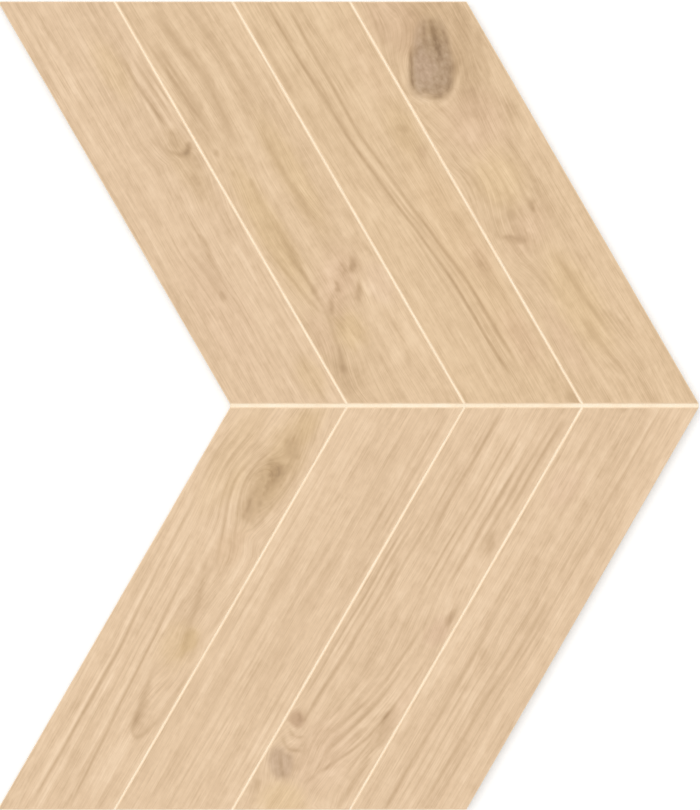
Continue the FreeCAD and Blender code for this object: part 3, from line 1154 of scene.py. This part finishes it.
class PrintLayout:
    """Works out one strip's print at each point of its face. Its lengths are in millimetres.

    A ripple is soft noise over the strip: its size, its changes a millimetre along the strip and across
    it, and the number that picks its pattern. Streaks waver, the outlines of patches are torn, and the
    fibres drift.
    """

    WAVER_U = ((1.6, 0.05, 0.09, 1.0),)
    WAVER_V = ((0.6, 0.04, 0.1, 5.0),)
    TORN_U = ((5.0, 0.11, 0.2, 13.0), (2.5, 0.31, 0.4, 17.0))
    TORN_V = ((2.6, 0.11, 0.2, 21.0), (1.3, 0.31, 0.4, 29.0))
    DRIFT = ((0.9, 0.012, 0.05, 9.0),)

    SAMPLE_STEP = 2.5
    WIDTHS_SEEN = 3
    CROSSING_SHARE = 0.3
    STEER_REACH = 7.0
    STEER_FADE = 25.0
    PATCH_RIM = 1.15
    TORN_HALF = 5.0

    RELIEF_RATES = (0.045, 0.75)
    RELIEF_SHIFT = 3.0
    RELIEF_LEVEL = 0.35
    RELIEF_FIBRES = 0.45
    RELIEF_LINES = 0.5
    RELIEF_KNOTS = 0.3
    RELIEF_RIM = 1.2

    def __init__(self, figure: StripFigure, along: np.ndarray, across: np.ndarray) -> None:
        """Takes the strip's figure and the points' places on the strip.

        Args:
            figure: What is printed on the strip.
            along: The points' u.
            across: The points' v.
        """
        self.figure = figure
        self.u = along
        self.v = across
        self.wavering_u = along + self.ripple(self.WAVER_U)
        self.wavering_v = across + self.ripple(self.WAVER_V)
        self.tear_u = self.ripple(self.TORN_U)
        self.tear_v = self.ripple(self.TORN_V)

    def soft_noise(self, first: np.ndarray, second: np.ndarray, shift: float) -> np.ndarray:
        """Reads soft noise of the strip's own.

        Args:
            first: The points' places on the noise's first axis.
            second: Their places on its second axis.
            shift: Picks one of many such patterns.

        Returns:
            The noise at each point, between -1 and 1.
        """
        depth = self.figure.seed + shift
        return np.array([noise.noise((one, two, depth)) for one, two in zip(first, second)])

    def ripple(self, ripples: tuple[tuple[float, ...], ...]) -> np.ndarray:
        """Adds ripples up.

        Args:
            ripples: The ripples.

        Returns:
            Their sum at each point.
        """
        return sum(
            size * self.soft_noise(self.u * along, self.v * across, shift)
            for size, along, across, shift in ripples
        )

    @classmethod
    def path(cls, points: tuple[tuple[float, ...], ...]) -> np.ndarray:
        """Rounds a streak's points into a smooth path.

        Args:
            points: The streak's points, each with or without a strength.

        Returns:
            Rows of u, v and strength along the path.
        """
        knots = np.array([(*point, 1.0)[:3] for point in points], float)
        padded = np.vstack([2 * knots[0] - knots[1], knots, 2 * knots[-1] - knots[-2]])
        rows = [knots[0]]
        for before, start, stop, after in zip(padded, padded[1:], padded[2:], padded[3:]):
            parts = max(2, math.ceil(math.dist(start[:2], stop[:2]) / cls.SAMPLE_STEP))
            for share in np.linspace(0, 1, parts + 1)[1:]:
                rows.append(0.5 * (
                    2 * start + (stop - before) * share
                    + (2 * before - 5 * start + 4 * stop - after) * share ** 2
                    + (3 * start - before - 3 * stop + after) * share ** 3
                ))
        return np.array(rows)

    def streak_depth(self, mark: Streak) -> np.ndarray:
        """Works out how strongly a streak shows.

        Args:
            mark: The streak.

        Returns:
            Its depth at each point.
        """
        path = self.path(mark.points)
        reach = self.WIDTHS_SEEN * mark.width
        low, high = path.min(0) - reach, path.max(0) + reach
        near = np.flatnonzero(
            (self.wavering_u > low[0]) & (self.wavering_u < high[0])
            & (self.wavering_v > low[1]) & (self.wavering_v < high[1])
        )
        spots = np.column_stack([self.wavering_u[near], self.wavering_v[near]])
        best = np.full(len(near), np.inf)
        strength = np.zeros(len(near))
        lengths = np.hypot(*np.diff(path[:, :2], axis=0).T)
        run = np.concatenate([[0.0], np.cumsum(lengths)])
        for index, length in enumerate(lengths):
            start, stop = path[index], path[index + 1]
            way = (stop - start)[:2]
            share = np.clip((spots - start[:2]) @ way / length ** 2, 0, 1)
            gap = np.hypot(*(spots - start[:2] - share[:, None] * way).T)
            place = run[index] + share * length
            ends = np.clip(np.minimum(place, run[-1] - place) / mark.fade, 0, 1)
            power = (start[2] + share * (stop[2] - start[2])) * ends
            closer = gap < best
            best = np.where(closer, gap, best)
            strength = np.where(closer, power, strength)
        depth = np.zeros(len(self.u))
        depth[near] = mark.depth * strength * np.exp(-(best / mark.width) ** 2)
        return depth

    def patch_amount(self, mark: Patch) -> np.ndarray:
        """Works out how much of a patch there is.

        Args:
            mark: The patch.

        Returns:
            The amount at each point, 0 to 1.
        """
        amount = np.clip((self.PATCH_RIM - self.patch_radius(mark)) / mark.edge, 0, 1)
        return amount * amount * (3 - 2 * amount)

    def patch_radius(self, mark: Patch) -> np.ndarray:
        """Works out how far from a patch's centre each point is, as a share of the way to its outline.

        Args:
            mark: The patch.

        Returns:
            The share at each point, which is 1 on the torn outline.
        """
        cos, sin = math.cos(math.radians(mark.turn)), math.sin(math.radians(mark.turn))
        tear = mark.tear * min(1.0, mark.half[1] / self.TORN_HALF)
        u = self.u + tear * self.tear_u - mark.centre[0]
        v = self.v + tear * self.tear_v - mark.centre[1]
        along = (u * cos + v * sin) / mark.half[0]
        across = (v * cos - u * sin) / mark.half[1] / (1 + mark.taper * np.clip(along, -1, 1))
        return (abs(along) ** mark.power + abs(across) ** mark.power) ** (1 / mark.power)

    def steer(self) -> np.ndarray:
        """Works out the fibres' own coordinate across the strip, which streaks and knots bend.

        Returns:
            The coordinate at each point.
        """
        pull = np.zeros(len(self.u))
        weight = np.zeros(len(self.u))
        for mark in self.figure.streaks:
            path = self.path(mark.points)
            if np.any(np.diff(path[:, 0]) <= 0):
                continue
            middle = np.interp(self.u, path[:, 0], path[:, 1])
            past_end = np.clip(np.maximum(path[0, 0] - self.u, self.u - path[-1, 0]), 0, None)
            window = np.exp(-(past_end / self.STEER_FADE) ** 2)
            near = window * np.exp(-((self.v - middle) / self.STEER_REACH) ** 2 / 2)
            pull += near * (middle - path[:, 1].mean())
            weight += near
        across = self.v - pull / np.maximum(weight, 1.0)
        for mark in self.figure.knots:
            u = (self.u - mark.centre[0]) / mark.half[0]
            v = (self.v - mark.centre[1]) / mark.half[1]
            across -= (self.v - mark.centre[1]) * np.exp(-(u * u + v * v)) * mark.push
        return across + self.ripple(self.DRIFT)

    def attributes(self) -> dict[str, np.ndarray]:
        """Works out the print.

        Returns:
            The values of each attribute that WoodPrint reads, at each point.
        """
        count = len(self.u)
        names = ("light", "pink", "olive", "speckle", "knot", "line", "ring")
        totals = {name: np.zeros(count) for name in names}
        for name in ("light", "olive", "ring"):
            totals[name] += getattr(self.figure, name)
        for mark in self.figure.streaks:
            depth = self.streak_depth(mark)
            if mark.depth > 0:
                line = totals["line"]
                totals["line"] = np.maximum(line, depth) + self.CROSSING_SHARE * np.minimum(line, depth)
            else:
                totals["light"] -= depth
        for mark in self.figure.patches:
            amount = self.patch_amount(mark)
            for name in names:
                totals[name] += getattr(mark, name) * amount
        seeds = np.full(count, self.figure.seed)
        return {
            "fibre": np.column_stack([self.u, self.steer(), seeds]),
            "place": np.column_stack([self.u, self.v, seeds]),
            "ring": totals["ring"],
            "figure": np.column_stack([totals["line"], totals["knot"], totals["speckle"]]),
            "tint": np.column_stack([totals["light"], totals["pink"], totals["olive"]]),
        }

    def relief(self, attributes: dict[str, np.ndarray], to_edge: np.ndarray) -> np.ndarray:
        """Works out the pressed relief.

        Args:
            attributes: What attributes() gave.
            to_edge: Each point's distance from the nearest edge of the face.

        Returns:
            The share of the full depth at each point, 0 to 1.
        """
        line, knot, _ = attributes["figure"].T
        u_rate, fibre_rate = self.RELIEF_RATES
        across_fibres = attributes["fibre"][:, 1]
        fibres = self.soft_noise(self.u * u_rate, across_fibres * fibre_rate, self.RELIEF_SHIFT)
        share = self.RELIEF_LEVEL + self.RELIEF_FIBRES * fibres
        share += self.RELIEF_LINES * np.clip(line, 0, 1) + self.RELIEF_KNOTS * knot
        return np.clip(share, 0, 1) * np.clip(to_edge / self.RELIEF_RIM, 0, 1)


@dataclass
class StripRow:
    """The printed strips of one row, cut and pressed from one blank.

    The materials are the print, the bare body and the engobe, whose pale colour also paints light on the
    arrises to offset their shade. A side whose normal rises above one of the two limits is part of the
    face, or of an arris.
    """

    blank: bpy.types.Object
    row: Row
    materials: tuple[bpy.types.Material, ...]
    count: int = 4
    relief_depth: float = 0.15 * MM
    crease: float = 35.0
    face_rise: float = 0.98
    arris_rise: float = 0.1

    def build(self, step: float) -> list[bpy.types.Object]:
        """Makes the row's strips.

        Args:
            step: How far each strip stands from the last one, along the mitre joint.

        Returns:
            The finished strips, from the notch to the point.
        """
        strips = []
        for number in range(1, self.count + 1):
            strip = Bench.copy(self.blank, f"printed_strip_{self.row.label}_{number}")
            strip.location.x = (number - 1) * step
            strip.scale.y = self.row.value
            Bench.settle(strip)
            Bench.open(strip, select="SELECT")
            bpy.ops.mesh.normals_make_consistent(inside=False)
            Bench.close()
            for material in self.materials:
                strip.data.materials.append(material)
            self.lay_print(strip, number)
            Bench.fasten(strip, "porcelain", [f"strip_{self.row.label}_{number}"], self.crease)
            strips.append(strip)
        return strips

    def lay_print(self, strip: bpy.types.Object, number: int) -> None:
        """Prints a strip's face, presses its relief and leaves its sides and back bare.

        Args:
            strip: The strip, in its place.
            number: Its number, from the notch.
        """
        mesh = strip.data
        points = np.zeros(len(mesh.vertices) * 3)
        mesh.vertices.foreach_get("co", points)
        points = points.reshape(-1, 3)
        low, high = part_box(f"strip_{self.row.label}_{number}")
        u, v = self.on_strip(points, low, high)
        layout = PrintLayout(FIGURES[self.row, number], u, v)
        attributes = layout.attributes()
        for name, values in attributes.items():
            is_vector = values.ndim == 2
            layer = mesh.attributes.new(name, "FLOAT_VECTOR" if is_vector else "FLOAT", "POINT")
            layer.data.foreach_set("vector" if is_vector else "value", values.ravel())
        end_gap = np.minimum(points[:, 1] - low.y, high.y - points[:, 1]) / MM
        side_gap = np.minimum(v, StripBlank.width / MM - v)
        to_edge = np.minimum(end_gap, side_gap) - StripBlank.arris / MM
        on_face = points[:, 2] > high.z - WELD_GAP
        finishes = [self.finish_of(polygon.normal) for polygon in mesh.polygons]
        self.press(strip, layout.relief(attributes, to_edge) * on_face)
        strip.data.polygons.foreach_set("material_index", finishes)

    def on_strip(self, points: np.ndarray, low: Vector, high: Vector) -> tuple[np.ndarray, np.ndarray]:
        """Finds the places of points on a strip, as its print is laid out.

        Args:
            points: The points.
            low: The low corner of the strip's box.
            high: The high corner of the strip's box.

        Returns:
            Each point's u and v, in millimetres.
        """
        cos, sin = math.cos(StripBlank.slant), self.row.value * math.sin(StripBlank.slant)
        corner_x = low.x if self.row is Row.UPPER else high.x - StripBlank.width / cos
        offset = (points[:, :2] - np.array([corner_x, high.y])) / MM
        return offset @ np.array([sin, -cos]), offset @ np.array([cos, sin])

    def press(self, strip: bpy.types.Object, shares: np.ndarray) -> None:
        """Presses the relief into a strip.

        Args:
            strip: The strip.
            shares: The share of the full depth at each of its points.
        """
        group = strip.vertex_groups.new(name="relief")
        for index in np.flatnonzero(shares):
            group.add([int(index)], float(shares[index]), "REPLACE")
        Bench.modify(
            strip, "DISPLACE",
            direction="Z", strength=-self.relief_depth, mid_level=0.0, vertex_group=group.name,
        )

    def finish_of(self, normal: Vector) -> int:
        """Chooses a side's material.

        Args:
            normal: The side's normal.

        Returns:
            The material's place in the row's materials.
        """
        if normal.z > self.face_rise:
            return 0
        # An arris gets the engobe, whose pale colour is painted light that offsets the shade on its slope
        return 2 if normal.z > self.arris_rise else 1


@dataclass
class StripBlank:
    """One mitred strip before printing: eased arrises on the face and keyed grooves in the back."""

    width: float = 51.0 * MM
    slant: float = math.radians(30.0)
    arris: float = 0.4 * MM
    arris_segments: int = 3
    groove_count: int = 4
    groove_width: float = 6.0 * MM
    groove_pitch: float = 10.0 * MM
    groove_depth: float = 0.6 * MM
    groove_wall: float = 0.3 * MM
    end_spare: float = 60.0 * MM
    long_parts: int = 3
    fine_parts: int = 100

    def build(self) -> bpy.types.Object:
        """Cuts the blank, in the place of the upper row's first strip.

        Returns:
            The blank.
        """
        self.low, self.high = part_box("strip_upper_1")
        size = self.high - self.low
        length = size.y / math.cos(self.slant)
        self.across = Vector((math.cos(self.slant), math.sin(self.slant), 0.0))
        along = Vector((-math.sin(self.slant), math.cos(self.slant), 0.0))
        corner_x = self.high.x - self.width / math.cos(self.slant)
        self.corner = Vector((corner_x, self.low.y, self.low.z))
        middle = self.corner + (self.across * self.width + along * length + UP * size.z) / 2
        bpy.ops.mesh.primitive_cube_add(size=1.0, location=middle, rotation=(0.0, 0.0, self.slant))
        blank = bpy.context.object
        blank.name = "strip_blank"
        blank.scale = (self.width, length + 2 * self.end_spare, size.z)
        Bench.settle(blank)
        Bench.open(blank)
        self.key_back()
        self.saw_ends()
        self.ease_arrises()
        self.refine_face()
        Bench.close()
        return blank

    def offset(self, point: Vector) -> float:
        """How far a point is across the strip from its long side by the notch."""
        return (point - self.corner).dot(self.across)

    def key_back(self) -> None:
        """Presses the grooves into the back, and leaves the face in one piece."""
        first = self.width / 2 - (self.groove_count - 1) * self.groove_pitch / 2
        middles = [first + number * self.groove_pitch for number in range(self.groove_count)]
        foot = self.groove_width / 2
        roof = foot - self.groove_wall
        for middle in middles:
            for side in (-foot, -roof, roof, foot):
                Bench.cut(self.corner + self.across * (middle + side), self.across)
        slack = self.groove_wall / 2
        Bench.pick("verts", lambda vert: vert.co.z < self.low.z + slack and any(
            abs(self.offset(vert.co) - middle) < roof + slack for middle in middles))
        bpy.ops.transform.translate(value=UP * self.groove_depth)
        Bench.pick("faces", self.on_face)
        bpy.ops.mesh.dissolve_faces()

    def saw_ends(self) -> None:
        """Saws both ends at the mitre angle."""
        Bench.cut(Vector((0.0, self.low.y, 0.0)), Vector((0.0, -1.0, 0.0)), saw_off=True)
        Bench.cut(Vector((0.0, self.high.y, 0.0)), Vector((0.0, 1.0, 0.0)), saw_off=True)

    def on_face(self, part: bmesh.types.BMEdge | bmesh.types.BMFace) -> bool:
        """Whether all of an edge or a face lies in the flat of the strip's face."""
        return all(vert.co.z > self.high.z - WELD_GAP for vert in part.verts)

    def ease_arrises(self) -> None:
        """Rounds the edges of the face."""
        bpy.ops.mesh.select_mode(type="EDGE")
        Bench.pick("edges", self.on_face)
        bpy.ops.mesh.bevel(offset=self.arris, segments=self.arris_segments, affect="EDGES")

    def refine_face(self) -> None:
        """Divides the face finely enough for its print and relief."""
        Bench.pick("edges", lambda edge: self.on_face(edge) and abs(
            (edge.verts[1].co - edge.verts[0].co).dot(self.across)) < self.arris / 2)
        bpy.ops.mesh.subdivide(number_cuts=self.long_parts - 1)
        bpy.ops.mesh.select_mode(type="FACE")
        Bench.pick("faces", self.on_face)
        bpy.ops.mesh.subdivide(number_cuts=self.fine_parts - 1)


@dataclass
class BackingNet:
    """The woven glass-fibre net: flat yarns that pass over and under each other."""

    pitch: float = 12.5 * MM
    yarn_width: float = 1.2 * MM
    yarn_thickness: float = 0.26 * MM
    sway: float = 0.11 * MM
    inset: float = 3.0 * MM
    sides: int = 8
    cell_cuts: int = 5
    rows: int = 36
    columns: int = 32
    crease: float = 50.0

    def build(self, material: bpy.types.Material) -> bpy.types.Object:
        """Weaves the net and cuts it to the chevron.

        Args:
            material: The yarns' finish.

        Returns:
            The finished net.
        """
        cloth = Bench.join(self.layer("weft", True), self.layer("warp", False))
        halves = [self.half(cloth, row) for row in Row]
        bpy.data.objects.remove(cloth)
        net = Bench.join(*halves)
        net.name = net.data.name = "woven_backing_net"
        Bench.open(net, "VERT", select="SELECT")
        bpy.ops.mesh.remove_doubles(threshold=WELD_GAP)
        bpy.ops.mesh.normals_make_consistent(inside=False)
        Bench.close()
        net.data.materials.append(material)
        Bench.fasten(net, "net", ["backing_net_upper", "backing_net_lower"], self.crease)
        return net

    def yarn_cell(self, name: str, phase: int) -> bpy.types.Object:
        """Makes two pitches of yarn along X, which sways up at one crossing and down at the next.

        Args:
            name: The new piece's name.
            phase: 1 if it is up at its middle, -1 if it is down there.

        Returns:
            The open tube.
        """
        bpy.ops.mesh.primitive_cylinder_add(
            vertices=self.sides, radius=0.5, depth=1.0, end_fill_type="NOTHING",
            rotation=(0.0, math.pi / 2, 0.0),
        )
        cell = bpy.context.object
        cell.name = name
        Bench.settle(cell)
        cell.scale = (2 * self.pitch, self.yarn_width, self.yarn_thickness)
        Bench.settle(cell)
        Bench.open(cell, "EDGE")
        Bench.pick("edges", lambda edge: abs(edge.verts[0].co.x - edge.verts[1].co.x) > self.pitch)
        bpy.ops.mesh.subdivide(number_cuts=2 * self.cell_cuts + 1)
        Bench.close()
        for vertex in cell.data.vertices:
            vertex.co.z += phase * self.sway * math.cos(math.pi * vertex.co.x / self.pitch)
        return cell

    def layer(self, name: str, is_weft: bool) -> bpy.types.Object:
        """Lays all the yarns that run one way, over a rectangle larger than the sheet.

        Args:
            name: The new piece's name.
            is_weft: Whether the yarns run along the mitre joint. The others are turned square to it.

        Returns:
            The joined yarns.
        """
        long, lanes = (self.columns, self.rows) if is_weft else (self.rows, self.columns)
        cells = long // 2
        span = 2 * self.pitch
        yarns = []
        for lane in range(2):
            yarn = self.yarn_cell(f"{name}_{lane}", 1 if (lane == 0) == is_weft else -1)
            for count, offset in ((cells, (span, 0.0, 0.0)), (lanes // 2, (0.0, span, 0.0))):
                Bench.modify(
                    yarn, "ARRAY",
                    count=count,
                    use_relative_offset=False,
                    use_constant_offset=True,
                    constant_offset_displace=offset,
                    use_merge_vertices=offset[0] > 0,
                    merge_threshold=WELD_GAP,
                )
            first_y = (lane - lanes // 2) * self.pitch + (self.pitch / 2 if is_weft else 0.0)
            yarn.location = (-(cells // 2) * span, first_y, 0.0)
            Bench.settle(yarn)
            yarns.append(yarn)
        whole = Bench.join(*yarns)
        if not is_weft:
            whole.rotation_euler.z = math.pi / 2
            Bench.settle(whole)
            whole.location.y = self.pitch / 2
        whole.location.z = self.sway + self.yarn_thickness / 2
        Bench.settle(whole)
        return whole

    def half(self, cloth: bpy.types.Object, row: Row) -> bpy.types.Object:
        """Cuts one row's half of the cloth, inside the strips' outline.

        Args:
            cloth: The woven rectangle.
            row: The row that it lies behind.

        Returns:
            The half.
        """
        part = Bench.copy(cloth, f"net_{row.label}")
        first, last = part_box(f"strip_{row.label}_1"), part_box(f"strip_{row.label}_4")
        sign = row.value
        outwards = Vector((0.0, sign, 0.0))
        across = Vector((math.cos(StripBlank.slant), sign * math.sin(StripBlank.slant), 0.0))
        near_y, far_y = (last[0].y, last[1].y) if row is Row.UPPER else (last[1].y, last[0].y)
        Bench.open(part)
        Bench.cut(Vector(), -outwards, saw_off=True, close=False)
        Bench.cut(Vector((0.0, far_y, 0.0)) - outwards * self.inset, outwards, saw_off=True)
        Bench.cut(Vector((first[0].x, far_y, 0.0)) + across * self.inset, -across, saw_off=True)
        Bench.cut(Vector((last[1].x, near_y, 0.0)) - across * self.inset, across, saw_off=True)
        Bench.close()
        return part


@dataclass
class Studio:
    """White floor, soft overhead light and the camera that looks straight down on the sheet."""

    frame_height: float = 413.0 * MM
    focal_length: float = 200.0
    sensor: float = 36.0
    clip: tuple[float, float] = (0.01, 100.0)
    look_down: tuple[float, float] = (0.9 * MM, 0.25 * MM)
    floor_size: float = 24.0
    sky: float = 0.44
    sun: float = 1.705
    sun_height: float = 2.0
    sun_angle: float = math.radians(50.0)
    sun_tilt: tuple[float, float, float] = (math.radians(-8.0), math.radians(-7.0), 0.0)

    def build(self) -> None:
        """Sets the studio up."""
        self.place_camera()
        self.lay_floor()
        self.hang_lights()

    def place_camera(self) -> None:
        """Puts the camera above the middle of the sheet, with the photograph's up along Y."""
        face_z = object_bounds()[1][2]
        distance = self.frame_height * self.focal_length / self.sensor
        bpy.ops.object.camera_add(location=(*self.look_down, face_z + distance))
        camera = bpy.context.object
        camera.name = "overhead_camera"
        camera.data.lens = self.focal_length
        camera.data.sensor_width = self.sensor
        camera.data.clip_start, camera.data.clip_end = self.clip
        bpy.context.scene.camera = camera

    def lay_floor(self) -> None:
        """Lays the floor under the sheet."""
        bpy.ops.mesh.primitive_plane_add(size=self.floor_size, location=(0.0, 0.0, 0.0))
        floor = bpy.context.object
        floor.name = "studio_floor"
        floor.data.materials.append(WhiteFloor().build())
        floor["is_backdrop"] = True

    def hang_lights(self) -> None:
        """Lights the sheet softly, at a level at which a colour renders about as it is written."""
        bpy.ops.object.light_add(
            type="SUN", location=(0.0, 0.0, self.sun_height), rotation=self.sun_tilt
        )
        lamp = bpy.context.object
        lamp.name = "soft_overhead_light"
        lamp.data.energy = self.sun
        lamp.data.angle = self.sun_angle
        world = bpy.data.worlds.new("white_studio")
        bpy.context.scene.world = world
        sheet = NodeSheet(world)
        level = sheet.node("MapRange", {"Value": sheet.seen_rays(), "To Min": self.sky, "To Max": 1.0})
        sky = sheet.node("Background", {"Color": WHITE, "Strength": level.outputs["Result"]})
        sheet.node("OutputWorld", {"Surface": sky.outputs["Background"]})


def report(piece: bpy.types.Object) -> None:
    """Logs a finished piece."""
    log.info("%s: %d faces", piece.name, len(piece.data.polygons))


def main() -> None:
    """Builds the studio, the strips, the grout and the net."""
    logging.basicConfig(level=logging.INFO, format="%(message)s")
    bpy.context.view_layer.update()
    bpy.context.scene.view_settings.view_transform = "Standard"
    Studio().build()
    log.info("studio: camera, floor and light")

    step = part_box("strip_upper_2")[0].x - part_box("strip_upper_1")[0].x
    materials = (WoodPrint().build(), PORCELAIN_BODY.build(), ENGOBE_AND_PAINTED_LIGHT.build())
    blank = StripBlank().build()
    for row in Row:
        for strip in StripRow(blank, row, materials).build(step):
            report(strip)
    bpy.data.objects.remove(blank)

    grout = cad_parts["joint_grout"]
    grout.data.materials.clear()
    grout.data.materials.append(CEMENT_GROUT.build())
    report(grout)

    report(BackingNet().build(GLASS_YARN.build()))


if __name__ == "__main__":
    main()
